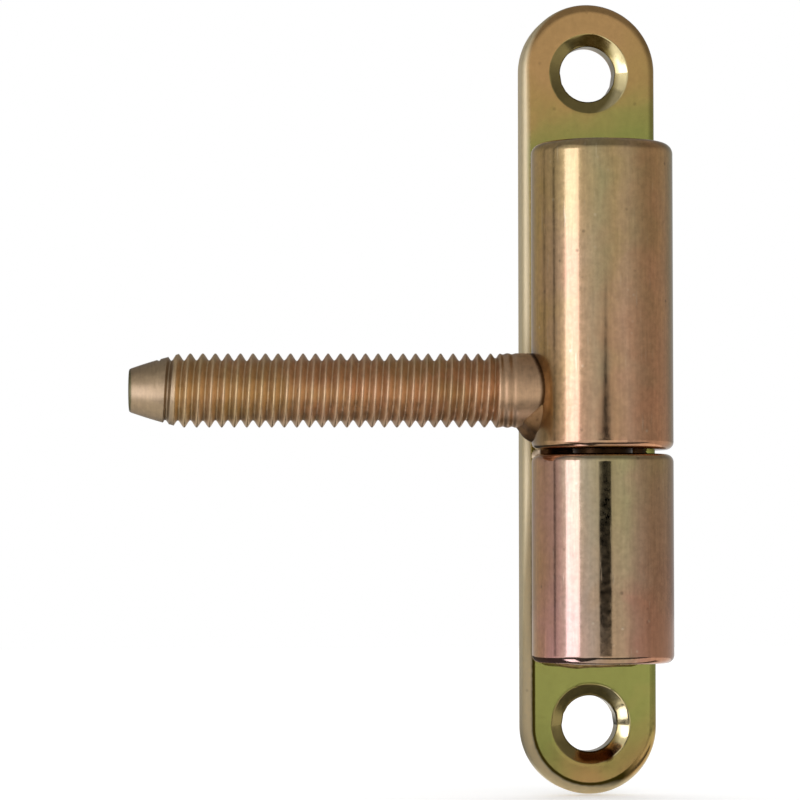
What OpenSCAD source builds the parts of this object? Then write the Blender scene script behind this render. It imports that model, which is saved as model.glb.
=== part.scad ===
// Screw-in lift-off hinge: a round-ended screw plate with a welded barrel and a
// fixed pin, and a door barrel with a threaded stud that turns on the pin.
// The plate's back face lies in the plane y = 0 and its front looks along -Y.
// The hinge axis is vertical, and the origin is the middle of the plate's back.

/* [Plate] */
// Length of the plate from end to end
plate_l = 80.8; // [76:0.2:110]
// Width of the plate, which its full-round ends follow
plate_w = 13.8; // [13:0.1:16]
// Distance of each screw hole's centre from its end of the plate
hole_inset = 7.15; // [6.5:0.05:8]
// Thickness of the plate
plate_t = 3; // [2.5:0.1:4]
// Rounding of the plate's front edge, left by the punch
plate_edge_r = 0.8; // [0.2:0.1:1]
// Diameter of the screw holes
screw_hole_d = 5.7; // [4.5:0.1:6]
// Diameter of the countersinks at the plate's face
countersink_d = 8.2; // [7.6:0.1:9]
// Included angle of the countersinks
countersink_angle = 120; // [90:5:130]

/* [Barrels] */
// Outer diameter of both barrels
barrel_d = 14.2; // [13.6:0.1:15]
// Length of the lower barrel, welded to the plate
lower_barrel_l = 20.8; // [18:0.1:22]
// Length of the upper barrel, which carries the door
upper_barrel_l = 30.7; // [26:0.1:31]
// Gap that the pin keeps between the two barrels
barrel_gap = 0.45; // [0.4:0.05:1.2]
// Rounding of the barrels' end edges, except the closed top
barrel_edge_r = 0.8; // [0.3:0.1:1.2]
// Rounding of the upper barrel's closed top
cap_edge_r = 1.1; // [0.3:0.1:1.5]
// Clearance between the turning barrel and the plate's face
swing_clear = 0.2; // [0.2:0.05:0.6]
// Height of the gap's lower side below the plate's middle
gap_drop = 6; // [5:0.1:7]

/* [Pin] */
// Diameter of the hinge pin
pin_d = 6; // [5:0.1:7]
// Radial running clearance between the pin and the upper barrel's bore
pin_clear = 0.05; // [0.02:0.01:0.1]
// Depth to which the pin is pressed into the lower barrel
pin_seat_depth = 16; // [12:0.5:18]
// Thickness of the upper barrel's closed top above the bore
cap_t = 4.5; // [3:0.5:8]
// Radius of the dome on the pin's bearing end
pin_dome_r = 6; // [5:0.5:12]
// End clearance between the pin's dome and the bore's bottom
pin_end_clear = 0.05; // [0.02:0.01:0.1]

/* [Stud] */
// Outer diameter of the stud's thread, over its crests
thread_d = 7.4; // [6:0.1:8]
// Diameter of the stud's plain shank at the thread, where rolling has swelled it
shank_d = 7.5; // [6:0.1:8]
// Diameter of the shank at its seat in the barrel
shank_seat_d = 7.4; // [6:0.1:8]
// Distance from the hinge axis to the stud's tip
stud_reach = 47.3; // [36:0.1:60]
// Height of the stud's axis above the upper barrel's lower end
stud_rise = 5.95; // [5.6:0.05:12]
// Length of plain shank between the barrel's surface and the thread
shank_l = 3.5; // [2:0.5:6]
// Depth to which the stud is set into the barrel's wall
stud_seat_depth = 2.8; // [2:0.1:3]
// Pitch of the stud's thread
thread_pitch = 1.25; // [1:0.05:1.5]
// Depth of the thread from crest to root
thread_depth = 0.7; // [0.5:0.02:0.8]
// Width of the flat on each thread crest
crest_w = 0.16; // [0.1:0.02:0.2]
// Width of the flat in each thread root
root_w = 0.16; // [0.1:0.02:0.2]
// Diameter of the flat on the stud's tip
tip_d = 4.3; // [3:0.1:5]
// Slope of the conical lead-in, measured from the stud's axis
tip_angle = 17; // [15:1:25]
// Angle by which the stud is turned back from the plate's plane as drawn
leaf_angle = 5.5; // [0:0.5:20]

/* [Welds] */
// Half width of the weld between the plate and the lower barrel
barrel_weld_w = 5.4; // [4.6:0.1:5.8]
// Height of the barrel weld's flank on the barrel, measured across the plate
barrel_weld_rise = 4.1; // [3.6:0.1:4.4]
// Length by which the barrel weld stands out below the barrel
barrel_weld_out = 1; // [0.2:0.1:1.2]
// Leg of the fillet weld under the stud
stud_weld_leg = 1.3; // [0.8:0.1:1.6]
// Half of the angle that the weld under the stud spans round it
stud_weld_span = 55; // [30:5:80]

/* [Hidden] */
$fn = 96;
end_r = plate_w / 2;
barrel_r = barrel_d / 2;
pin_r = pin_d / 2;
thread_r = thread_d / 2;
shank_r = shank_d / 2;
shank_seat_r = shank_seat_d / 2;
// Distance of the hinge axis in front of the plate's face and its back
axis_h = barrel_r + swing_clear;
axis_y = -(plate_t + axis_h);
straight_l = plate_l - plate_w;
hole_spacing = plate_l - 2 * hole_inset;
countersink_depth = (countersink_d - screw_hole_d) / 2 / tan(countersink_angle / 2);
lower_top = -gap_drop;
lower_bottom = lower_top - lower_barrel_l;
upper_bottom = lower_top + barrel_gap;
upper_top = upper_bottom + upper_barrel_l;
bore_top = upper_top - cap_t;
bore_r = pin_r + pin_clear;
pin_bottom = lower_top - pin_seat_depth;
pin_top = bore_top - pin_end_clear;
stud_z = upper_bottom + stud_rise;
stud_root = barrel_r - stud_seat_depth;
thread_start = barrel_r + shank_l;
// The lead-in cone reaches the thread's full diameter this far behind the tip
cone_l = (thread_r - tip_d / 2) / tan(tip_angle);
// Share of the cone's length over which the thread dies out
run_out_share = 0.3;
thread_end = stud_reach - cone_l * (1 - run_out_share);
turn_count = floor((thread_end - thread_start) / thread_pitch);
flank_w = (thread_pitch - crest_w - root_w) / 2;
shank_end = thread_start - flank_w;
// Overshoot that carries a cut clear through a face
over = 1;

// Rounded corner profile of a solid of revolution, from the axis to radius r and height h
module round_top_profile(r, h, edge_r) {
    square([r, h - edge_r]);
    square([r - edge_r, h]);
    translate([r - edge_r, h - edge_r]) intersection() {
        circle(r = edge_r);
        square(edge_r);
    }
}

// Bar of the plate's section between its two round ends
module plate_middle() {
    translate([0, straight_l / 2, 0]) rotate([90, 0, 0]) linear_extrude(straight_l) {
        round_top_profile(end_r, plate_t, plate_edge_r);
        mirror([1, 0]) round_top_profile(end_r, plate_t, plate_edge_r);
    }
}

// Half disc that closes the plate's end
module plate_end() {
    translate([0, straight_l / 2, 0]) rotate_extrude(angle = 180)
        round_top_profile(end_r, plate_t, plate_edge_r);
}

module screw_hole() {
    translate([0, 0, -over]) cylinder(d = screw_hole_d, h = plate_t + 2 * over);
    translate([0, 0, plate_t - countersink_depth])
        cylinder(d1 = screw_hole_d, d2 = countersink_d, h = countersink_depth);
    translate([0, 0, plate_t]) cylinder(d = countersink_d, h = over);
}

// Flat steel plate with full-round ends and a countersunk hole at the centre of each
module back_plate() {
    color("#9c8748") rotate([90, 0, 0]) difference() {
        union() {
            plate_middle();
            plate_end();
            mirror([0, 1, 0]) plate_end();
        }
        for (side = [-1, 1]) translate([0, side * hole_spacing / 2, 0]) screw_hole();
    }
}

// Turned barrel standing on z = 0, with its lower and its upper end edge rounded
module barrel_blank(length, top_edge_r) {
    half = length / 2;
    translate([0, 0, half]) rotate_extrude() {
        round_top_profile(barrel_r, half, top_edge_r);
        mirror([0, 1]) round_top_profile(barrel_r, half, barrel_edge_r);
    }
}

// Barrel that is welded to the plate, with a blind hole for the pin
module lower_barrel() {
    color("#a3886c") translate([0, axis_y, 0]) difference() {
        translate([0, 0, lower_bottom]) barrel_blank(lower_barrel_l, barrel_edge_r);
        translate([0, 0, pin_bottom]) cylinder(r = pin_r, h = pin_seat_depth + over);
    }
}

// Pin pressed into the lower barrel, with a domed end that carries the door barrel
module hinge_pin() {
    color("#8d8a84") translate([0, axis_y, 0]) intersection() {
        translate([0, 0, pin_bottom]) cylinder(r = pin_r, h = pin_top - pin_bottom + over);
        union() {
            translate([0, 0, pin_top - pin_dome_r]) sphere(r = pin_dome_r);
            translate([0, 0, pin_bottom - over])
                cylinder(r = pin_r + over, h = pin_top - pin_dome_r - pin_bottom + over);
        }
    }
}

// Places a shape drawn along +X from the hinge axis on the stud's line
module on_stud_line() {
    translate([0, axis_y, stud_z]) rotate([0, 0, 180 - leaf_angle]) children();
}

// Radius of the shank at distance x from the hinge axis
function shank_at(x) =
    shank_seat_r + (shank_r - shank_seat_r) * (x - stud_root) / (shank_end - stud_root);

// Door barrel, closed at the top, with its bore and the seat of the stud
module upper_barrel() {
    color("#ab8d70") difference() {
        translate([0, axis_y, upper_bottom]) barrel_blank(upper_barrel_l, cap_edge_r);
        translate([0, axis_y, upper_bottom - over])
            cylinder(r = bore_r, h = bore_top - upper_bottom + over);
        on_stud_line() translate([stud_root, 0, 0]) rotate([0, 90, 0])
            cylinder(r1 = shank_seat_r, r2 = shank_r, h = shank_end - stud_root);
    }
}

// Radius of the lead-in cone at distance x from the hinge axis
function cone_r(x) = tip_d / 2 + (stud_reach - x) * tan(tip_angle);

// Points of one thread ridge, whose root flat starts at distance x
function ridge(x) = [
    for (p = [[0, thread_depth], [root_w, thread_depth], [root_w + flank_w, 0],
              [root_w + flank_w + crest_w, 0]])
        [min(thread_r - p[1], cone_r(x + p[0])), x + p[0]]
];

// Threaded stud with a plain shank and a conical lead-in; its ridges stand for the thread
module threaded_stud() {
    run_out = thread_start + turn_count * thread_pitch;
    profile = concat(
        [[0, stud_root], [shank_seat_r, stud_root], [shank_r, shank_end]],
        [for (i = [0 : turn_count - 1]) each ridge(thread_start + i * thread_pitch)],
        [[min(thread_r - thread_depth, cone_r(run_out)), run_out],
         [tip_d / 2, stud_reach], [0, stud_reach]]
    );
    color("#8a6848") on_stud_line() rotate([0, 90, 0]) rotate_extrude() polygon(profile);
}

// Weld metal that fills the wedge between the plate's face and the lower barrel
module barrel_weld() {
    color("#6f5a3a") difference() {
        translate([0, 0, lower_bottom - barrel_weld_out])
            linear_extrude(lower_barrel_l + barrel_weld_out - barrel_edge_r)
                polygon([[-barrel_weld_w, -plate_t], [barrel_weld_w, -plate_t],
                         [barrel_weld_rise, axis_y + sqrt(barrel_r ^ 2 - barrel_weld_rise ^ 2)],
                         [-barrel_weld_rise, axis_y + sqrt(barrel_r ^ 2 - barrel_weld_rise ^ 2)]]);
        translate([0, axis_y, lower_bottom - barrel_weld_out - over])
            cylinder(r = barrel_r, h = lower_barrel_l + 2 * over);
    }
}

// Small fillet weld under the stud where it enters the door barrel
module stud_weld() {
    weld_r = shank_r + stud_weld_leg;
    weld_end = barrel_r + stud_weld_leg;
    inner_x = sqrt(barrel_r ^ 2 - weld_r ^ 2 * sin(stud_weld_span) ^ 2) - over;
    color("#5f4a34") difference() {
        on_stud_line() rotate([0, 90, 0]) rotate([0, 0, -stud_weld_span])
            rotate_extrude(angle = 2 * stud_weld_span)
                polygon([[shank_at(inner_x), inner_x], [weld_r, inner_x], [weld_r, barrel_r],
                         [shank_at(weld_end), weld_end]]);
        translate([0, axis_y, upper_bottom - over])
            cylinder(r = barrel_r, h = upper_barrel_l);
    }
}

back_plate();
lower_barrel();
hinge_pin();
upper_barrel();
threaded_stud();
barrel_weld();
stud_weld();
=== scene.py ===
import math

import bmesh
import bpy
import numpy as np
from mathutils import Matrix, Vector


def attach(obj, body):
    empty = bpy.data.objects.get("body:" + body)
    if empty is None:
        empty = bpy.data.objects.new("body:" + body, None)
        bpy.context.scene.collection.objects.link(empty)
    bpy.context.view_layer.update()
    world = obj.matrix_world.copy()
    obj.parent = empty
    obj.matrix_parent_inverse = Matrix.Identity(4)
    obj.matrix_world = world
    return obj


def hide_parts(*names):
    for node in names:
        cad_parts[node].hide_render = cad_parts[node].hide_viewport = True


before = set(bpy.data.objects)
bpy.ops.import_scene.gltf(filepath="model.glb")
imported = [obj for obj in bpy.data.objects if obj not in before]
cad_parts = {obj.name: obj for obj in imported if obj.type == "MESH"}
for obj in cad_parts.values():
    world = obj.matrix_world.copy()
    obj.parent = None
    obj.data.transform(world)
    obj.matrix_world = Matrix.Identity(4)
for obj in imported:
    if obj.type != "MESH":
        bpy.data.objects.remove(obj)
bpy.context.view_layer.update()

MM = 0.001

# Sizes of the hinge in millimetres, as built. The plate's back lies in y = 0.
PLATE_L, PLATE_W, PLATE_T = 80.8, 13.8, 3.0
ROLL_W, ROLL_H = 0.95, 0.8
HOLE_Z, HOLE_R, SINK_R, SINK_DEPTH = 33.25, 2.85, 4.1, 0.72
BARREL_R, BARREL_EDGE, CAP_EDGE, AXIS_Y = 7.1, 0.8, 1.1, -10.3
LOWER_TOP, LOWER_BOTTOM = -6.0, -26.8
UPPER_TOP, UPPER_BOTTOM = 25.15, -5.55
PIN_R, PIN_BOTTOM, BORE_R, BORE_TOP = 3.0, -22.0, 3.05, 20.65
STUD_Z, STUD_ROOT, STUD_TIP, LEAF_ANGLE = 0.4, 4.3, 47.3, math.radians(5.5)
THREAD_R, THREAD_DEPTH, PITCH = 3.7, 0.7, 1.25
SHANK_R, SHANK_SEAT_R, THREAD_START = 3.75, 3.7, 10.6
TIP_R, TIP_SLOPE = 2.15, math.tan(math.radians(17))
# The crest on top of the stud that lies nearest the shank, from the hinge axis
TOP_CREST = 11.19
# Shallow run-out grooves on the shank: distance from the hinge axis, half width and depth
RUN_OUTS = ((9.08, 0.24, 0.11), (9.98, 0.26, 0.13))
# The barrel weld keeps outside this radius where the upper barrel turns past it
CLEAR_R = 7.4
# Columns round a barrel
ROUND = 192


def arc(centre, radius, start, end, count):
    """Points of a circle's or an ellipse's arc in a plane, from one angle to another in degrees."""
    a = np.radians(np.linspace(start, end, count))
    return np.array(centre) + np.stack([np.cos(a), np.sin(a)], axis=1) * radius


def path(*parts):
    """One line of points made of several, each a point or an array of points."""
    return np.concatenate([np.atleast_2d(np.asarray(p, float)) for p in parts])


def along(start, end, count):
    """Points spaced evenly on a straight line, both ends included."""
    return np.linspace(np.asarray(start, float), np.asarray(end, float), count)


def turned(profile, count):
    """Surface of revolution about the hinge axis: the profile's (radius, height) points are
    swept round a full circle, so x = r sin a and y = axis - r cos a."""
    a = np.linspace(0, 2 * np.pi, count + 1)
    r, z = profile[:, :1], profile[:, 1:]
    return np.stack([r * np.sin(a), AXIS_Y - r * np.cos(a), z + 0 * a], axis=2)


def piece(name, grids, body, node, material, sharp=32):
    """Joins grids of points (rows, columns, xyz in mm) into one closed mesh. Each cell of a grid
    is a quad, equal points of neighbouring cells are merged, and the faces turned outwards."""
    points, quads, used = [], [], 0
    for g in grids:
        n, m = g.shape[:2]
        i = np.arange(n * m).reshape(n, m) + used
        cells = np.stack([i[:-1, :-1], i[1:, :-1], i[1:, 1:], i[:-1, 1:]], axis=2)
        quads.append(cells.reshape(-1, 4))
        points.append(g.reshape(-1, 3))
        used += n * m
    mesh = bpy.data.meshes.new(name)
    mesh.from_pydata((np.concatenate(points) * MM).tolist(), [], np.concatenate(quads).tolist())
    b = bmesh.new()
    b.from_mesh(mesh)
    bmesh.ops.remove_doubles(b, verts=b.verts, dist=1e-6)
    bmesh.ops.recalc_face_normals(b, faces=b.faces)
    b.to_mesh(mesh)
    b.free()
    mesh.shade_smooth()
    mesh.set_sharp_from_angle(angle=math.radians(sharp))
    mesh.materials.append(material)
    made = bpy.data.objects.new(name, mesh)
    bpy.context.scene.collection.objects.link(made)
    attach(made, body)
    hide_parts(node)
    return made


def half_plate(side):
    """Half of the plate, round one screw hole, as a grid. Columns follow the half's outline: up
    one long edge, round the end, down the other edge and back along the plate's middle. Rows run
    from the hole's back edge through the bore and the countersink, over the front face to the
    rounded edge, down the side, and over the back face to the hole again."""
    straight, reach = (PLATE_L - PLATE_W) / 2, PLATE_W / 2
    chamfer, throat_edge, lip, collar, margin = 0.15, 0.08, 0.12, 0.4, 0.05
    cone_rows = 9

    def outline(inset):
        """The half's edge: one long side, the round end and the other long side."""
        r = reach - inset
        end = arc((0, straight), r, 0, 180, 121)
        return path(along((r, 0), (r, straight), 13)[:-1], end,
                    along((-r, straight), (-r, 0), 13)[1:])

    def loop(inset):
        """The half's whole boundary: the inset outline and the line across the plate's middle."""
        r = reach - inset
        return path(outline(inset), along((-r, 0), (r, 0), 15)[1:])

    def level(points, y):
        """Points of the plate's plane, all at one depth."""
        return np.stack([points[:, 0], 0 * points[:, 0] + y, points[:, 1]], axis=1)

    away = loop(chamfer) - (0, HOLE_Z)
    unit = away / np.linalg.norm(away, axis=1, keepdims=True)
    throat = -PLATE_T + SINK_DEPTH
    cone = along((HOLE_R + throat_edge, throat - 0.03), (SINK_R - lip, -PLATE_T + lip * 0.5),
                 cone_rows)
    down = path((HOLE_R + chamfer, 0), (HOLE_R, -chamfer), (HOLE_R, throat + throat_edge), cone,
                (SINK_R - lip * 0.4, -PLATE_T + lip * 0.12), (SINK_R + lip * 0.4, -PLATE_T),
                (SINK_R + collar, -PLATE_T))
    # the countersink chattered, which leaves shallow facets round its cone
    turn = np.arctan2(unit[:, 1], unit[:, 0])
    chatter = 0.03 * (np.sin(5 * turn + 0.6 + side) + 0.7 * np.sin(8 * turn + 2.2 * side))
    on_cone = np.sin(np.linspace(0, np.pi * 0.8, cone_rows))
    share = np.concatenate([np.zeros(3), on_cone, np.zeros(3)])
    ring = []
    for (r, y), k in zip(down, share):
        uneven = r + k * chatter
        ring.append(np.stack([unit[:, 0] * uneven, 0 * turn + y, HOLE_Z + unit[:, 1] * uneven],
                             axis=1))
    inner = level(loop(ROLL_W + margin), -PLATE_T)
    front = [ring[-1] + (inner - ring[-1]) * t for t in np.linspace(0, 1, 12)[1:]]
    front.append(level(loop(ROLL_W), -PLATE_T))
    back = level(loop(chamfer), 0)
    back = [back + (ring[0] - back) * t for t in np.linspace(0, 1, 8)]
    profile = path(arc((ROLL_W, -PLATE_T + ROLL_H), (ROLL_W, ROLL_H), 270, 180, 16),
                   along((0, -PLATE_T + ROLL_H), (0, -chamfer), 6)[1:],
                   (chamfer * 0.3, -chamfer * 0.3), (chamfer, 0))
    band = [level(outline(i), y) for i, y in profile]
    return [np.stack(rows) * (1, 1, side) for rows in (ring + front, band, back)]


def barrel_profile(bottom, top, bore_r, bore_end, open_top, far_edge):
    """Half section of a barrel from the bore's closed end round the outside to the axis again:
    bore, small chamfer, end face, rounded edge, side, rounded edge and the other end face."""
    r, e, c, gap = BARREL_R, BARREL_EDGE, 0.25, 0.05
    mouth, closed, s = (top, bottom, 1) if open_top else (bottom, top, -1)
    near = arc((r - e, mouth - s * e), e, 90 * s, 0, 12)
    far = arc((r - far_edge, closed + s * far_edge), far_edge, 0, -90 * s, 14)
    return path((0, bore_end), along((bore_r, bore_end), (bore_r, mouth - s * c), 8),
                (bore_r + c, mouth), along((bore_r + c, mouth), (r - e - gap, mouth), 5)[1:], near,
                along((r, mouth - s * (e + gap)), (r, closed + s * (far_edge + gap)), 41), far,
                along((r - far_edge - gap, closed), (0, closed), 10))


def on_stud(s, around, radius):
    """Points at distance s from the hinge axis along the stud, and at an angle and a radius about
    its centreline. Angle 0 is the top, and a quarter turn on is the side that faces the front."""
    line = np.array([-math.cos(LEAF_ANGLE), math.sin(LEAF_ANGLE), 0.0])
    front = np.array([-math.sin(LEAF_ANGLE), -math.cos(LEAF_ANGLE), 0.0])
    up = np.array([0.0, 0.0, 1.0])
    s, around, radius = (np.asarray(v, float)[..., None]
                         for v in np.broadcast_arrays(s, around, radius))
    return (np.array([0, AXIS_Y, STUD_Z]) + s * line
            + radius * (np.cos(around) * up + np.sin(around) * front))


def smooth_step(x):
    """Rises from 0 to 1 while x does, level at both ends: three x squared less two x cubed."""
    x = np.clip(x, 0, 1)
    return x * x * (3 - 2 * x)


def threaded_stud():
    """The stud as a radius over (distance, angle). The distance to the nearest crest of a single
    helix gives the drop from crest to root, between a flat crest and a flat root and with slightly
    bowed flanks; wear makes it uneven by a few hundredths. The drop fades out into the shank,
    which tapers to its seat and keeps two shallow run-out grooves, each a bell curve along the
    stud. The lead-in cone, a little full halfway, cuts the crests down towards the tip."""
    per_turn, crest, root, fade = 28, 0.11, 0.12, 0.8
    fine_start, fine_end, cone_end = THREAD_START - 0.7, STUD_TIP - 3.0, STUD_TIP - 0.2
    rows = int((fine_end - fine_start) / PITCH * per_turn)
    s = np.concatenate([np.linspace(STUD_ROOT, fine_start - 0.05, 64),
                        np.linspace(fine_start, fine_end, rows),
                        np.linspace(fine_end + 0.1, cone_end, 20)])[:, None]
    a = np.linspace(0, 2 * np.pi, 97)
    turn = (s - TOP_CREST) / PITCH - a / (2 * np.pi)
    off = np.abs(turn - np.round(turn)) * PITCH
    drop = np.clip((off - crest / 2) / ((PITCH - crest - root) / 2), 0, 1)
    drop = drop - 0.03 * np.sin(2 * np.pi * drop)
    taper = (SHANK_R - SHANK_SEAT_R) / (THREAD_START - STUD_ROOT)
    shank = SHANK_SEAT_R + taper * (s - STUD_ROOT)
    for where, width, depth in RUN_OUTS:
        shank = shank - depth * np.exp(-((s - where) / width) ** 2)
    full = shank + (THREAD_R - shank) * smooth_step((s - THREAD_START + 0.4) / fade)
    wear = 1 + 0.03 * np.sin(2 * a + 0.9 * s) + 0.03 * np.sin(2.3 * s + 1)
    cut = THREAD_DEPTH * drop * wear * smooth_step((s - THREAD_START + 0.45) / fade)
    to_tip = STUD_TIP - s
    lead = TIP_R + to_tip * TIP_SLOPE + 0.05 * np.sin(np.clip(to_tip / 4.2, 0, 1) * np.pi)
    outer = on_stud(s, a, np.minimum(full - cut, lead))
    tip = [on_stud(STUD_TIP - d, a, TIP_R - c) for d, c in ((0.1, -0.01), (0.03, 0.05), (0, 0.14))]
    tip += [on_stud(STUD_TIP, a, (TIP_R - 0.14) * t) for t in (0.7, 0.35, 0)]
    start = [on_stud(STUD_ROOT, a, SHANK_SEAT_R * t) for t in (0, 0.5)]
    return [np.concatenate([np.stack(start), outer, np.stack(tip)])]


def lumps(u, v, size, seed):
    """Smooth uneven heights: a sum of five plane waves with fixed random headings and phases."""
    draw = np.random.default_rng(seed)
    heading, phase = draw.uniform(0, 2 * np.pi, 5), draw.uniform(0, 2 * np.pi, 5)
    length = size * draw.uniform(0.7, 1.6, 5)
    return sum(np.sin((u * math.cos(h) + v * math.sin(h)) * 2 * np.pi / w + p)
               for h, p, w in zip(heading, phase, length)) / 5


def barrel_weld():
    """Weld bead between plate and barrel. Rows run down the bead, columns round its section: a
    full flank from the plate to the barrel on each side, with shallow ripples along it, each a
    sine in height, and smooth lumps. Above the barrel's top the bead keeps outside the clearance
    circle about the hinge axis, so the turning barrel clears it, and spreads sideways in a blob.
    Below the barrel it ends in a low roll of metal."""
    rise, sag, ripple, plate_toe, barrel_toe, heel = 0.8, 0.62, 1.1, 5.35, 4.1, -2.7
    end = LOWER_TOP + rise
    z = np.concatenate([np.linspace(end, LOWER_BOTTOM, 90),
                        LOWER_BOTTOM - np.linspace(0.05, sag, 8)])[:, None]
    over = np.clip((LOWER_BOTTOM - z) / sag, 0, 1)
    blob = (smooth_step((z - LOWER_TOP + 0.9) / 0.8)
            * np.sqrt(np.clip((end + 0.02 - z) / 0.5, 0, 1)))
    above = smooth_step((z - LOWER_TOP + 0.35) / 0.25)
    t = np.linspace(0, 1, 14)
    bulge = np.sin(np.pi * t)
    flanks = []
    for side, width in ((-1, 0.95), (1, 0.85)):
        spread = blob * width
        toe = plate_toe + spread + 0.12 * lumps(z, side * 7 + 0 * z, 2.6, 2) * (1 - above)
        toe_y = -2.9 + 0.22 * spread
        top, top_y = barrel_toe + 0.35 * above, -4.7 + 0.65 * above
        amount = (0.13 + 0.05 * np.sin(z * 2 * np.pi / ripple + side)
                  + 0.13 * lumps(z, 3.5 * t + side * 9, 2.2, 5))
        x = toe + (top - toe) * t + 0.62 * amount * bulge
        y = toe_y + (top_y - toe_y) * t - 0.5 * amount * bulge
        flanks.append(np.stack([side * x, y], axis=2)[:, ::side * -1])
    u = np.linspace(-0.86, 0.86, 11)
    reach = u * (barrel_toe + 0 * z)
    roll = -4.5 - over * (0.4 + 0.45 * lumps(z, 8 * u, 3.4, 8)) * (1 - 0.5 * u ** 2)
    roll = roll + (AXIS_Y + np.sqrt(CLEAR_R ** 2 - reach ** 2) - roll) * above
    belly = np.stack([reach, roll], axis=2)
    under = np.stack([np.linspace(5.2, -5.2, 6)[1:-1] + 0 * z, -2.8 + np.zeros(4) + 0 * z], axis=2)
    section = np.concatenate([flanks[0], belly, flanks[1], under, flanks[0][:, :1]], axis=1)
    middle = np.array([0, heel])
    section = middle + (section - middle) * (1 - 0.2 * over ** 2)[:, :, None]
    height = z + over * 0.3 * lumps(section[:, :, 0], section[:, :, 1], 2.2, 3)
    grid = np.concatenate([section, height[:, :, None]], axis=2)
    ends = []
    for g, dome in ((grid[0], 0.06), (grid[-1], -0.1)):
        centre = np.array([0, heel, g[:, 2].mean() + dome])
        ends.append(np.stack([g, centre + (g - centre) * 0.6 + (0, 0, dome * 0.4), 0 * g + centre]))
    return [grid] + ends


def stud_weld():
    """Fillet under the stud. Columns go round the stud's underside, rows across the fillet from
    the shank to the barrel, where the barrel's own surface y = axis + sqrt(R^2 - x^2) bounds it;
    the leg shrinks to nothing at both ends, and smooth lumps roughen it."""
    half, size, heel_depth = np.radians(66), 1.32, 0.3
    around = np.linspace(np.pi - half, np.pi + half, 81)
    fade = np.clip(1 - ((around - np.pi) / half) ** 2, 0, 1) ** 0.8
    leg = size * fade * (1 + 0.24 * lumps(around * 4, around * 0, 2.0, 11)) + 0.03
    saddle = np.sqrt(BARREL_R ** 2 - (np.sin(around) * (SHANK_R + leg)) ** 2)
    inner = np.sqrt(BARREL_R ** 2 - (np.sin(around) * SHANK_R) ** 2)
    toe_shank = np.stack([inner + leg * 1.05, SHANK_R - 0.06 + 0 * leg], axis=1)
    toe_barrel = np.stack([saddle - 0.12, SHANK_R + leg], axis=1)
    heel = np.stack([inner - 1.0, SHANK_R - heel_depth + 0 * leg], axis=1)
    t = np.linspace(0, 1, 13)[:, None]
    uneven = 0.8 + 1.4 * lumps(around[None] * 4, 3 * t, 3.4, 4)
    belly = 0.17 * leg * uneven * np.sin(np.pi * t)
    face = toe_shank + (toe_barrel - toe_shank) * t[..., None] + 0.7 * belly[..., None]
    rows = np.concatenate([heel[None], face, heel[None]])
    grid = on_stud(rows[..., 0], around, rows[..., 1])
    caps = [np.stack([grid[:, i], 0 * grid[:, i] + grid[:, i].mean(axis=0)]) for i in (0, -1)]
    return [grid] + caps


def linear(code):
    """An sRGB hex colour as linear red, green, blue and alpha."""
    c = np.array([int(code[i:i + 2], 16) for i in (1, 3, 5)]) / 255
    return (*np.where(c <= 0.04045, c / 12.92, ((c + 0.055) / 1.055) ** 2.4), 1.0)


def add(tree, kind, inputs=None, stops=None, **settings):
    """Adds a node with its settings. Each input is given a value or the socket that feeds it, and
    a ramp's stops are pairs of a place and a hex colour or a linear grey level."""
    n = tree.nodes.new(kind)
    for key, value in settings.items():
        setattr(n, key, value)
    for key, value in (inputs or {}).items():
        if isinstance(value, bpy.types.NodeSocket):
            tree.links.new(value, n.inputs[key])
        else:
            n.inputs[key].default_value = value
    if stops:
        ramp = n.color_ramp.elements
        while len(ramp) < len(stops):
            ramp.new(0.5)
        for element, (place, tone) in zip(ramp, stops):
            element.position = place
            element.color = linear(tone) if isinstance(tone, str) else (tone, tone, tone, 1)
    return n


def blank(name):
    """A new material and its node tree, emptied."""
    made = bpy.data.materials.new(name)
    made.use_nodes = True
    made.node_tree.nodes.clear()
    return made, made.node_tree


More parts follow.
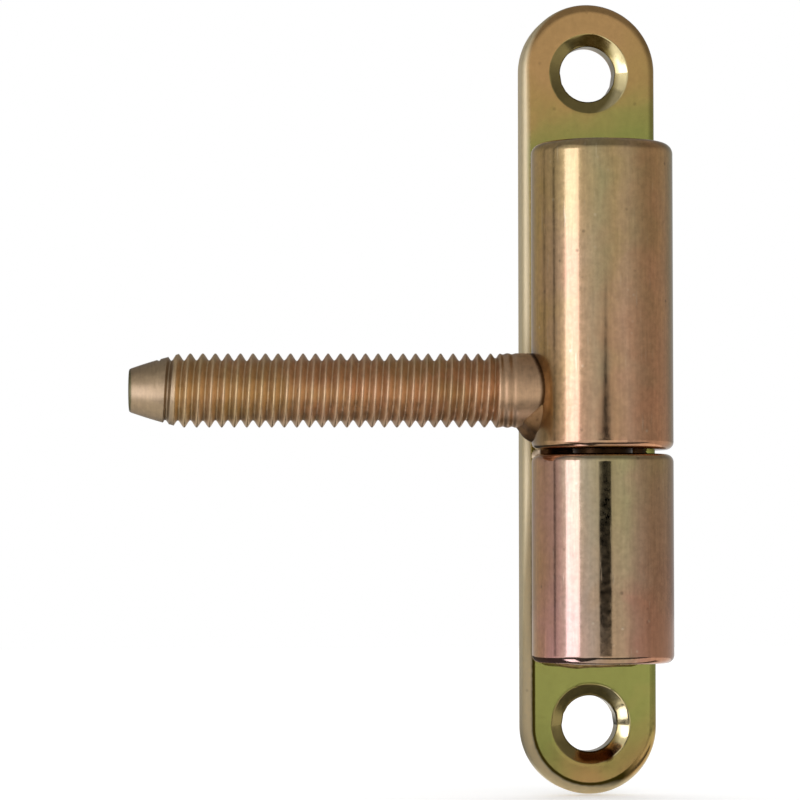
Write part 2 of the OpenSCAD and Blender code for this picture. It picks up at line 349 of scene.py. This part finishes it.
def zinc(name, tints, patch, lean, rough, streak, speck, wave, zones=(), around=(),
         shift=(0, 0, 0), scuff=0.0):
    """Zinc plate with a yellow chromate film on a worked metal surface. The film's thickness
    wanders over patches some millimetres wide, which turns its hue between olive, tan and rose;
    lean says how far the hue drifts per millimetre along x, y, z and beyond |z| = 25, per square
    millimetre of x times z, and where it starts. rough is the range of the roughness, streak the
    scale of the working marks along x, y, z and their strength, speck the strength of the fine
    grain and the brightness left in the pits, and wave the width of the swells and the height in
    mm of swells, marks and grain. scuff is the strength of rubbed specks and scratches, and shift
    moves the pattern, so that two pieces differ. On a turned piece, around gives the colours by
    the angle about the hinge axis in degrees, from the front: the film's tints, and where a stop is
    made lighter or darker for how light falls at that angle, painted highlight or painted shade.
    A zone is a place whose colour and finish differ, for a real mark or as painted shade or a
    painted highlight: it says whether the sides are folded onto one, its centre, the half size of
    its core, the weight of each axis, the distances between which it sets in, its tint, how much
    rougher it is and, if it ends along some direction, that direction and where."""
    m, t = blank(name)
    place = add(t, "ShaderNodeTexCoord").outputs["Object"]
    mm = add(t, "ShaderNodeMapping", {"Vector": place, "Scale": (1000, 1000, 1000)}).outputs[0]
    moved = add(t, "ShaderNodeMapping", {"Vector": mm, "Location": shift}).outputs[0]
    broad = add(t, "ShaderNodeTexNoise", {"Vector": moved, "Scale": 1 / patch, "Detail": 3.0,
                                         "Roughness": 0.5, "Distortion": 0.5}).outputs["Fac"]
    folded = add(t, "ShaderNodeVectorMath", {0: mm}, operation="ABSOLUTE").outputs[0]
    drift = add(t, "ShaderNodeVectorMath", {0: mm, 1: lean[:3]},
                operation="DOT_PRODUCT").outputs["Value"]
    away = add(t, "ShaderNodeVectorMath", {0: folded, 1: (0, 0, lean[3])},
               operation="DOT_PRODUCT").outputs["Value"]
    away = add(t, "ShaderNodeMath", {0: away, 1: 25 * lean[3]}, operation="MAXIMUM").outputs[0]
    hue_range = 0.8 if around else 1.5
    swing = add(t, "ShaderNodeMath", {0: broad, 1: hue_range, 2: drift},
                operation="MULTIPLY_ADD").outputs[0]
    swing = add(t, "ShaderNodeMath", {0: swing, 1: away}, operation="ADD").outputs[0]
    xyz = add(t, "ShaderNodeSeparateXYZ", {0: mm}).outputs
    twist = add(t, "ShaderNodeMath", {0: xyz["X"], 1: xyz["Z"]}, operation="MULTIPLY").outputs[0]
    swing = add(t, "ShaderNodeMath", {0: twist, 1: lean[4], 2: swing},
                operation="MULTIPLY_ADD").outputs[0]
    film = add(t, "ShaderNodeMath", {0: swing, 1: lean[5] - hue_range / 2},
               operation="ADD").outputs[0]
    hue = add(t, "ShaderNodeValToRGB", {"Fac": film}, stops=tints).outputs["Color"]
    if around:
        depth = add(t, "ShaderNodeMath", {0: AXIS_Y, 1: xyz["Y"]}, operation="SUBTRACT").outputs[0]
        turn = add(t, "ShaderNodeMath", {0: xyz["X"], 1: depth}, operation="ARCTAN2").outputs[0]
        # the noise, about a half on average, moves the borders of the tints by a few degrees
        turn = add(t, "ShaderNodeMath", {0: broad, 1: 0.5, 2: turn},
                   operation="MULTIPLY_ADD").outputs[0]
        turn = add(t, "ShaderNodeMapRange",
                   {"Value": turn, 1: 0.25 - math.pi, 2: 0.25 + math.pi}).outputs[0]
        # film tints by angle, with painted highlight and shade where a stop is lighter or darker
        tint_and_painted_light = add(t, "ShaderNodeValToRGB", {"Fac": turn},
                   stops=[((a + 180) / 360, c) for a, c in around]).outputs["Color"]
        hue = add(t, "ShaderNodeVectorMath", {0: hue, 1: tint_and_painted_light}, operation="MULTIPLY").outputs[0]
        hue = add(t, "ShaderNodeVectorMath", {0: hue, "Scale": 1.25}, operation="SCALE").outputs[0]
    # marks of drawing, rolling or turning, long in one direction
    drawn = add(t, "ShaderNodeMapping", {"Vector": moved, "Scale": streak[:3]}).outputs[0]
    marks = add(t, "ShaderNodeTexNoise", {"Vector": drawn, "Scale": 1.0, "Detail": 4.0,
                                         "Roughness": 0.6}).outputs["Fac"]
    shade = add(t, "ShaderNodeMapRange", {"Value": marks, 1: 0.3, 2: 0.7, 3: 1 - streak[3],
                                         4: 1 + streak[3]}).outputs[0]
    grain = add(t, "ShaderNodeTexNoise", {"Vector": moved, "Scale": 1.6, "Detail": 5.0,
                                         "Roughness": 0.65}).outputs["Fac"]
    dust = add(t, "ShaderNodeMapRange", {"Value": grain, 1: 0.35, 2: 0.65, 3: 1 - speck[0],
                                        4: 1 + speck[0]}).outputs[0]
    cells = add(t, "ShaderNodeTexVoronoi", {"Vector": moved, "Scale": 0.45,
                                           "Randomness": 1.0}).outputs["Distance"]
    pit = add(t, "ShaderNodeMapRange",
              {"Value": cells, 1: 0.04, 2: 0.11, 3: speck[1], 4: 1.0}).outputs[0]
    # rubbed specks and short scratches, where the film has worn thin and pale
    rubs = add(t, "ShaderNodeTexVoronoi", {"Vector": moved, "Scale": 0.62,
                                          "Randomness": 1.0}).outputs["Distance"]
    rub = add(t, "ShaderNodeMapRange",
              {"Value": rubs, 1: 0.05, 2: 0.12, 3: 0.8, 4: 0.0}).outputs[0]
    slant = add(t, "ShaderNodeMapping", {"Vector": moved, "Rotation": (0.3, 0.6, 0.2),
                                        "Scale": (3.2, 3.2, 0.22)}).outputs[0]
    lines = add(t, "ShaderNodeTexNoise",
                {"Vector": slant, "Scale": 1.0, "Detail": 2.0}).outputs["Fac"]
    line = add(t, "ShaderNodeMapRange",
               {"Value": lines, 1: 0.66, 2: 0.72, 3: 0.0, 4: 0.7}).outputs[0]
    worn = add(t, "ShaderNodeMath", {0: rub, 1: line}, operation="MAXIMUM").outputs[0]
    where = add(t, "ShaderNodeTexNoise",
                {"Vector": moved, "Scale": 0.23, "Detail": 1.0}).outputs["Fac"]
    there = add(t, "ShaderNodeMapRange",
                {"Value": where, 1: 0.45, 2: 0.6, 3: 0.0, 4: scuff}).outputs[0]
    worn = add(t, "ShaderNodeMath", {0: worn, 1: there}, operation="MULTIPLY").outputs[0]
    value = add(t, "ShaderNodeMath", {0: shade, 1: dust}, operation="MULTIPLY").outputs[0]
    value = add(t, "ShaderNodeMath", {0: value, 1: pit}, operation="MULTIPLY").outputs[0]
    colour = add(t, "ShaderNodeVectorMath", {0: hue, "Scale": value}, operation="SCALE").outputs[0]
    colour = add(t, "ShaderNodeMix", {0: worn, 6: colour, 7: linear("#D6CBB4")},
                 data_type="RGBA").outputs[2]
    dull = add(t, "ShaderNodeMapRange",
               {"Value": grain, 1: 0.3, 2: 0.7, 3: rough[0], 4: rough[1]}).outputs[0]
    for fold, centre, core, weight, near, far, tint, rougher, *until in zones:
        v = folded if fold else mm
        for operation, operand in (("SUBTRACT", centre), ("ABSOLUTE", None), ("SUBTRACT", core),
                                   ("MAXIMUM", (0, 0, 0)), ("MULTIPLY", weight)):
            inputs = {0: v} if operand is None else {0: v, 1: operand}
            v = add(t, "ShaderNodeVectorMath", inputs, operation=operation).outputs[0]
        reach = add(t, "ShaderNodeVectorMath", {0: v}, operation="LENGTH").outputs["Value"]
        ragged = add(t, "ShaderNodeMath", {0: grain, 1: 0.5 * abs(far - near), 2: reach},
                     operation="MULTIPLY_ADD").outputs[0]
        inside = add(t, "ShaderNodeMapRange", {"Value": ragged, 1: near, 2: far, 3: 0.0, 4: 1.0},
                     interpolation_type="SMOOTHSTEP").outputs[0]
        if until:
            side = add(t, "ShaderNodeVectorMath", {0: mm, 1: until[0]},
                       operation="DOT_PRODUCT").outputs["Value"]
            share = add(t, "ShaderNodeMapRange",
                        {"Value": side, 1: until[1], 2: until[2]}).outputs[0]
            inside = add(t, "ShaderNodeMath", {0: inside, 1: share},
                         operation="MULTIPLY").outputs[0]
        scaled = add(t, "ShaderNodeVectorMath", {0: linear(tint)[:3], "Scale": value},
                     operation="SCALE").outputs[0]
        colour = add(t, "ShaderNodeMix", {0: inside, 6: colour, 7: scaled},
                     data_type="RGBA").outputs[2]
        dull = add(t, "ShaderNodeMath", {0: inside, 1: rougher, 2: dull},
                   operation="MULTIPLY_ADD").outputs[0]
    swell = add(t, "ShaderNodeTexNoise",
                {"Vector": moved, "Scale": 1 / wave[0], "Detail": 1.0}).outputs["Fac"]
    normal = add(t, "ShaderNodeBump", {"Height": swell, "Distance": wave[1] * MM}).outputs[0]
    for height, depth in ((marks, wave[2]), (grain, wave[3]), (worn, 0.01)):
        normal = add(t, "ShaderNodeBump",
                     {"Height": height, "Distance": depth * MM, "Normal": normal}).outputs[0]
    shader = add(t, "ShaderNodeBsdfPrincipled", {"Base Color": colour, "Roughness": dull,
                                                 "Metallic": 1.0, "Normal": normal})
    add(t, "ShaderNodeOutputMaterial", {"Surface": shader.outputs[0]})
    m.diffuse_color = linear(tints[len(tints) // 2][1])
    return m


# Turned steel barrels, zinc plated and yellow passivated: satin metal whose thin film is tan to
# rose in front and browner at the sides, greener at the top, with fine marks along the drawn
# stock. On the upper barrel the tints from about 40 to 60 degrees left of the front are lighter,
# a painted highlight that widens the softbox's highlight. Beside the stud the upper barrel is
# painted darker brown: partly heat tint from welding, partly painted shade and a painted
# reflection of the stud.
upper_zinc = zinc(
    "turned_passivated_zinc_upper", [(0.0, "#DDEBD6"), (0.5, "#E7E7E7"), (1.0, "#EFDAE2")],
    patch=6.0, lean=(0.0, 0.0, -0.02, 0.0, 0.0, 0.62), rough=(0.1, 0.17),
    streak=(3.0, 3.0, 0.25, 0.09), speck=(0.1, 0.65), wave=(5.0, 0.01, 0.0012, 0.0007),
    # stops about 40 to 60 degrees left of the front are lighter: painted highlight
    around=[(-180, "#B08E66"), (-95, "#B08A56"), (-78, "#B78E4B"), (-60, "#BB956D"),
            (-40, "#B09273"), (-30, "#B18E70"), (-15, "#A89172"), (0, "#AF8F6A"), (12, "#B08F71"),
            (26, "#B78B67"), (38, "#CA956D"), (52, "#C2946C"), (64, "#AC8F62"), (180, "#B08E66")],
    # darker brown beside the stud: heat tint, painted shade and a painted reflection of the stud
    zones=[(False, (-7.0, -11.5, -1.2), (0, 0, 0), (1, 0.9, 0.72), 6.3, 3.2, "#957850", 0.03),
           (False, (-7.0, -9.7, 0.2), (0, 0, 0), (1, 1, 1), 5.1, 4.0, "#7C6240", 0.06)],
    shift=(3, 0, 11), scuff=0.3)
lower_zinc = zinc(
    "turned_passivated_zinc_lower", [(0.0, "#DDEBD6"), (0.5, "#E3E1E1"), (1.0, "#DDC8CE")],
    patch=6.0, lean=(0.0, 0.0, -0.033, 0.0, -0.003, -0.04), rough=(0.08, 0.14),
    streak=(3.0, 3.0, 0.2, 0.09), speck=(0.09, 0.7), wave=(5.0, 0.012, 0.0015, 0.0006),
    around=[(-180, "#B09270"), (-90, "#C38E5C"), (-76, "#C58D6C"), (-60, "#C18C80"),
            (-50, "#BD8D87"), (-42, "#B39287"), (-32, "#B39383"), (-20, "#A99683"), (-5, "#AC9674"),
            (6, "#AA9776"), (18, "#B39377"), (34, "#B8926E"), (62, "#B4936E"), (180, "#B09270")],
    scuff=0.25)
# Steel strip, punched and countersunk, then plated: flat and smooth, and greener where the film
# is thin. The sheared side is rough and pale, and so is the rolled edge in front along the left
# and the bottom, with a dark line painted beside it low on the left: painted shade and a painted
# dark reflection where the face turns into the rounded edge. Each countersink is a darker olive,
# partly its own film and partly painted shade of the recess, with a painted highlight as a
# bright arc on its right, and the lower one has a dark spot at its bottom.
SPINE = (0, 0, 33.5)
HOLE = (True, (0, 0, HOLE_Z), (0, 0, 0), (1, 0, 1), 4.22, 4.05)
plate_zinc = zinc(
    "punched_passivated_zinc",
    [(0.0, "#91914E"), (0.35, "#A19354"), (0.65, "#B29159"), (1.0, "#B9925F")],
    patch=9.0, lean=(0.0, 0.12, 0.0095, 0.09, -0.0011, -2.17), rough=(0.15, 0.24),
    streak=(1.5, 1.5, 0.3, 0.04), speck=(0.05, 0.8), wave=(6.0, 0.008, 0.001, 0.001),
    # dark line beside the rolled edge, low on the left: painted shade and dark reflection
    zones=[(True, (0, 0, 0), SPINE, (1, 0, 1), 5.68, 5.82, "#43380F", 0.28,
            (-1, -10, -0.4), 39, 42),
           (True, (0, 0, 0), SPINE, (1, 0, 1), 6.0, 6.3, "#D2C29D", 0.34,
            (-1, 12, -0.12), -34.1, -31.1),
           # darker olive countersink: partly its own film, partly painted shade of the recess
           (*HOLE, "#8E7E4E", 0.0, (0, -1, 0), 0.3, 0.6),
           # bright arc on the countersink's right: painted highlight
           (*HOLE, "#DCCB98", -0.06, (1, -3, 0), 9.6, 11.0),
           (False, (0.6, 0, -36.4), (1.1, 0, 0), (1, 0, 1), 1.0, 0.6, "#4E3214", 0.0,
            (0, -1, 0), 1.5, 2.5)])
# Rolled thread, plated: rough, so its tan film looks matt. The lead-in cone is darker and greener
# and darkest at its end, the shank browned by welding and dark where it enters the barrel.
stud_zinc = zinc(
    "rolled_passivated_zinc",
    [(0.0, "#C5AA77"), (0.4, "#CEAF89"), (0.7, "#D1AC89"), (1.0, "#BB9E77")],
    patch=6.0, lean=(0.016, 0.0, 0.0, 0.0, 0.0, 0.95), rough=(0.38, 0.48),
    streak=(5.0, 0.4, 0.4, 0.08), speck=(0.1, 0.85), wave=(1.2, 0.01, 0.0015, 0.003), scuff=0.2,
    zones=[(False, (-7.0, 0, 0), (3.2, 0, 0), (1, 0, 0), 0.9, 0.2, "#BE9B79", -0.02),
           (False, (-46.0, 0, 0), (2.9, 0, 0), (1, 0, 0), 0.6, 0.2, "#A89173", -0.02),
           (False, (-47.4, 0, 0), (0.25, 0, 0), (1, 0, 0), 0.3, 0.12, "#6A6448", 0.1),
           (False, (0, AXIS_Y, 0), (0, 0, 0), (1, 1, 0), 7.62, 7.25, "#4E341C", 0.1)])
# Weld metal under the plating: rippled and mottled brown, dull at the fillet under the stud and
# darker brown there as painted shade under the stud, near black as painted shade in the gap
# between the barrels and cream at its left end there as a painted highlight
weld_zinc = zinc(
    "welded_passivated_zinc", [(0.0, "#7E7440"), (0.5, "#93764E"), (1.0, "#A8865E")],
    patch=1.6, lean=(0.0, 0.0, 0.0, 0.0, 0.0, 0.5), rough=(0.26, 0.4),
    streak=(2.0, 2.0, 2.0, 0.14), speck=(0.2, 0.6), wave=(0.9, 0.05, 0.004, 0.006),
    # darker brown at the fillet under the stud: painted shade under the stud
    zones=[(False, (-7.0, -10.3, -3.6), (2.5, 0, 2.0), (1, 0, 1), 0.8, 0.2, "#77593A", 0.14),
           # near black in the gap between the barrels: painted shade
           (False, (0, -3.3, -5.7), (6.6, 1, 0.3), (1, 0.5, 1), 0.5, 0.1, "#3C2614", 0.1),
           # cream at the left end of the gap: painted highlight
           (False, (-5.95, -3.0, -5.8), (0.55, 1, 0.5), (1, 0, 1), 0.35, 0.1, "#D8C4A4", -0.05)])
# Drawn steel pin, bare, painted near black: painted shade where it shows in the gap between
# the barrels
pin_steel = zinc(
    "drawn_steel_painted_shade", [(0.0, "#2A1C10"), (1.0, "#382818")],
    patch=5.0, lean=(0.0, 0.0, 0.0, 0.0, 0.0, 0.5), rough=(0.24, 0.36),
    streak=(4.0, 4.0, 0.2, 0.06), speck=(0.06, 0.8), wave=(4.0, 0.004, 0.002, 0.001))


upper = barrel_profile(UPPER_BOTTOM, UPPER_TOP, BORE_R, BORE_TOP, open_top=False,
                       far_edge=CAP_EDGE)
lower = barrel_profile(LOWER_BOTTOM, LOWER_TOP, PIN_R, PIN_BOTTOM, open_top=True,
                       far_edge=BARREL_EDGE)
piece("screw_plate", half_plate(1) + half_plate(-1), "frame_leaf", "back_plate",
      plate_zinc)
piece("door_barrel", [turned(upper, ROUND)], "door_leaf", "upper_barrel", upper_zinc)
piece("fixed_barrel", [turned(lower, ROUND)], "frame_leaf", "lower_barrel",
      lower_zinc)
piece("door_stud", threaded_stud(), "door_leaf", "threaded_stud", stud_zinc, sharp=60)
piece("plate_bead", barrel_weld(), "frame_leaf", "barrel_weld", weld_zinc, sharp=60)
piece("stud_bead", stud_weld(), "door_leaf", "stud_weld", weld_zinc, sharp=60)
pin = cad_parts["hinge_pin"]
pin.data.materials.clear()
pin.data.materials.append(pin_steel)


# The camera: lens and sensor in mm, distance to the aimed point in mm, and where it looks
LENS, SENSOR, DISTANCE = 160.8, 36.0, 357.8
YAW, PITCH_UP, ROLL = math.radians(6.949), math.radians(2.276), math.radians(-0.06)
SIDE_SHIFT, AIM_Z = -20.255, -0.53

forward = Vector((math.sin(YAW) * math.cos(PITCH_UP), math.cos(YAW) * math.cos(PITCH_UP),
                  math.sin(PITCH_UP)))
sideways = Vector((math.cos(YAW), -math.sin(YAW), 0))
upright = sideways.cross(forward)
right = math.cos(ROLL) * sideways + math.sin(ROLL) * upright
up = math.cos(ROLL) * upright - math.sin(ROLL) * sideways
aim = Vector((0, AXIS_Y, AIM_Z)) + SIDE_SHIFT * sideways
eye = (aim - DISTANCE * forward) * MM
camera = bpy.data.objects.new("camera", bpy.data.cameras.new("camera"))
camera.matrix_world = Matrix((
    (right.x, up.x, -forward.x, eye.x), (right.y, up.y, -forward.y, eye.y),
    (right.z, up.z, -forward.z, eye.z), (0, 0, 0, 1)))
camera.data.lens = LENS
camera.data.sensor_width = SENSOR
camera.data.sensor_fit = "HORIZONTAL"
camera.data.clip_start = 0.01
camera.data.clip_end = 50
bpy.context.scene.collection.objects.link(camera)
bpy.context.scene.camera = camera


def glow(name, colour, strength):
    """A plain light-giving surface for a reflector; a strength near 0 makes a black flag."""
    m, t = blank(name)
    light = add(t, "ShaderNodeEmission", {"Color": linear(colour), "Strength": strength})
    add(t, "ShaderNodeOutputMaterial", {"Surface": light.outputs[0]})
    return m


def staged(name, points, faces, material, seen=False):
    """A piece of the studio. Unless it is to be seen, only reflections show it."""
    mesh = bpy.data.meshes.new(name)
    mesh.from_pydata((np.asarray(points, float) * MM).tolist(), [], np.asarray(faces).tolist())
    mesh.materials.append(material)
    made = bpy.data.objects.new(name, mesh)
    bpy.context.scene.collection.objects.link(made)
    if not seen:
        made.visible_camera = made.visible_diffuse = False
        made.visible_shadow = made.visible_volume_scatter = False


def card(name, azimuths, low, high, material):
    """A curved card round the hinge axis, between two azimuths in degrees from the camera's side
    (positive to its right) and two edges, each given as its distance and its height in mm."""
    base = math.atan2(-forward.x, -forward.y)
    per_step = 3
    n = 2 + int(abs(azimuths[1] - azimuths[0]) / per_step)
    a = base - np.radians(np.linspace(azimuths[0], azimuths[1], n))
    points = np.concatenate([
        np.column_stack([d * np.sin(a), AXIS_Y + d * np.cos(a), np.full(n, h)])
        for d, h in (low, high)])
    i = np.arange(n - 1)
    staged(name, points, np.stack([i, i + 1, i + n + 1, i + n], axis=1), material)


def sheet(name, lo, hi, height, material, seen=False):
    """A level rectangle between two corners at one height."""
    corners = [(lo[0], lo[1], height), (hi[0], lo[1], height), (hi[0], hi[1], height),
               (lo[0], hi[1], height)]
    staged(name, corners, [(0, 1, 2, 3)], material, seen)


# The tent round the hinge is brighter in front than at its sides. Its brightness is given by the
# azimuth in degrees from the camera's side, positive to its right, and fades with height.
TENT = [(-180, 0.46), (-150, 0.42), (-138, 0.5), (-124, 0.53), (-112, 0.5), (-98, 0.56),
        (-82, 0.62), (-72, 0.95), (-64, 1.3), (-42, 1.2), (-34, 1.05), (-23, 0.98), (-12, 0.9),
        (12, 0.8), (25, 0.83), (39, 0.78), (53, 0.6), (68, 0.48), (84, 0.41), (99, 0.42),
        (116, 0.45), (131, 0.38), (150, 0.37), (180, 0.46)]
TENT_PEAK, TENT_HIGH_UP = 1.6, 0.95
tent, tt = blank("tent_cloth")
spot = add(tt, "ShaderNodeTexCoord").outputs["Object"]
spot = add(tt, "ShaderNodeMapping", {"Vector": spot, "Rotation": (0, 0, YAW)}).outputs[0]
axes = add(tt, "ShaderNodeSeparateXYZ", {0: spot}).outputs
back = add(tt, "ShaderNodeMath", {0: axes["Y"], 1: -1.0}, operation="MULTIPLY").outputs[0]
swept = add(tt, "ShaderNodeMath", {0: axes["X"], 1: back}, operation="ARCTAN2").outputs[0]
share = add(tt, "ShaderNodeMapRange",
            {"Value": swept, 1: -math.pi, 2: math.pi, 3: 0.0, 4: 1.0}).outputs[0]
cloth = add(tt, "ShaderNodeValToRGB", {"Fac": share},
            stops=[((a + 180) / 360, level / TENT_PEAK) for a, level in TENT]).outputs["Color"]
fade = add(tt, "ShaderNodeMapRange",
           {"Value": axes["Z"], 1: 0.12, 2: 0.4, 3: TENT_PEAK, 4: TENT_HIGH_UP}).outputs[0]
gleam = add(tt, "ShaderNodeEmission", {"Color": cloth, "Strength": fade})
add(tt, "ShaderNodeOutputMaterial", {"Surface": gleam.outputs[0]})

card("tent", (-180, 180), (800, -40), (800, 1100), tent)
# Heights in mm of the paper and of the flags lying on it, and how far off the camera's parts stand
TABLE_Z, FLAG_Z, CAMERA_AWAY = -40.6, -40.4, 350
cloth_white = glow("softbox_cloth", "#EAECFF", 3.7)
card("left_softbox", (-64.5, -40.5), (420, -40), (420, 95), cloth_white)
for azimuths, level in (((38, 72), 0.73), ((72, 180), 0.6),
                        ((-112, -80), 0.76), ((-180, -112), 0.55)):
    card("table_side", azimuths, (60, -40.5), (798, -40.5), glow("table_grey", "#FFFFFF", level))
card("table_glint", (-66, -42), (112, -40.45), (420, -40.45), cloth_white)
card("near_glint", (-68, -48), (11, -40.35), (26, -40.35), cloth_white)
card("left_stand", (-89, -84.5), (400, -40), (400, 420), glow("stand_black", "#FFFFFF", 0.2))
card("rear_stand", (-113, -107), (400, 5), (400, 420), glow("rear_stand_grey", "#FFFFFF", 0.3))
black = glow("camera_black", "#000000", 0.0)
for part, azimuths, bottom, top in (("body", (-8.6, 10.6), -40, 3.2),
                                    ("hood", (-4.2, 10.3), 3.6, 10),
                                    ("finder", (-2.5, 8), 10, 14), ("top", (-0.4, 4.6), 14, 25)):
    card("camera_" + part, azimuths, (CAMERA_AWAY, bottom), (CAMERA_AWAY, top), black)
card("camera_strap", (1, 3.6), (CAMERA_AWAY, 25), (CAMERA_AWAY, 33),
     glow("camera_grey", "#FFFFFF", 0.35))
velvet = glow("black_velvet", "#FFFFFF", 0.14)
sheet("flag_under_stud", (-50, -50), (-8, 220), FLAG_Z, glow("grey_velvet", "#FFFFFF", 0.07))
sheet("flag_under_tip", (-92, -72), (-62, -34), FLAG_Z, glow("grey_card", "#FFFFFF", 0.25))
sheet("flag_under_barrels", (-9, -12), (22, -5), FLAG_Z, velvet)
sheet("flag_under_holes", (-30, -72), (90, -34), -40.42, velvet)
sheet("flag_above", (-140, -210), (110, 90), 150, glow("ceiling_grey", "#FFFFFF", 0.32))

# Matt white paper under the hinge; camera and mirror rays see it as white as the backdrop
paper, pt = blank("matt_white_paper")
ray = add(pt, "ShaderNodeLightPath").outputs
direct = add(pt, "ShaderNodeMath", {0: ray["Is Camera Ray"], 1: ray["Is Glossy Ray"]},
             operation="ADD").outputs[0]
direct = add(pt, "ShaderNodeMath", {0: direct, 1: ray["Is Transmission Ray"]},
             operation="ADD").outputs[0]
matt = add(pt, "ShaderNodeBsdfDiffuse", {"Color": linear("#E6E6E6")}).outputs[0]
lift = add(pt, "ShaderNodeEmission", {"Color": linear("#FFFFFF"), "Strength": 0.32}).outputs[0]
lit = add(pt, "ShaderNodeAddShader", {0: matt, 1: lift}).outputs[0]
both = add(pt, "ShaderNodeMixShader", {0: direct, 1: matt, 2: lit}).outputs[0]
add(pt, "ShaderNodeOutputMaterial", {"Surface": both})
sheet("floor", (-500, -500), (500, 500), TABLE_Z, paper, seen=True)

world = bpy.data.worlds.new("white_backdrop")
bpy.context.scene.world = world
world.use_nodes = True
wt = world.node_tree
wt.nodes.clear()
white = add(wt, "ShaderNodeBackground", {"Color": linear("#FFFFFF"), "Strength": 1.0}).outputs[0]
add(wt, "ShaderNodeOutputWorld", {"Surface": white})

bpy.context.scene.view_settings.view_transform = "Standard"
